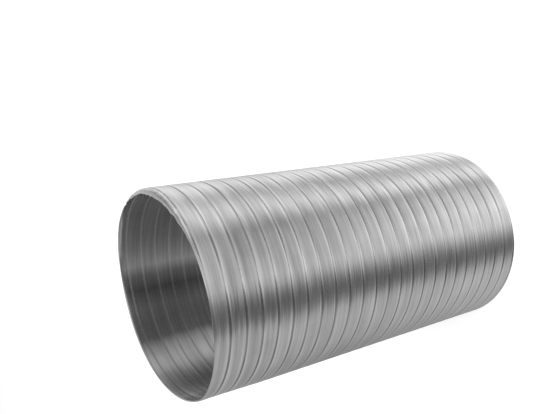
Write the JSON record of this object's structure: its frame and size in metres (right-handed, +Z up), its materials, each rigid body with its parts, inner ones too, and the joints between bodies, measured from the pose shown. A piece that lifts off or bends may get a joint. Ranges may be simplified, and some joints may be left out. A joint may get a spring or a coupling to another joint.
{
  "type": "flexible aluminium duct",
  "caption": "Round ventilation duct wound from one aluminium strip in a left-handed helix with a folded seam, pushed together short, open at both mouths.",
  "frame": {"origin": "centre of the lower mouth, on the surface that the duct stands on", "axes": "+Z up along the duct's axis, from the lower mouth to the upper one; +X and +Y across the duct"},
  "size_m": [0.1522, 0.1522, 0.292],
  "materials": {
    "aluminium_strip": "satin, with fine rolling lines round the duct"
  },
  "bodies": {
    "root": {"duct_wall": "aluminium_strip"}
  },
  "joints": []
}
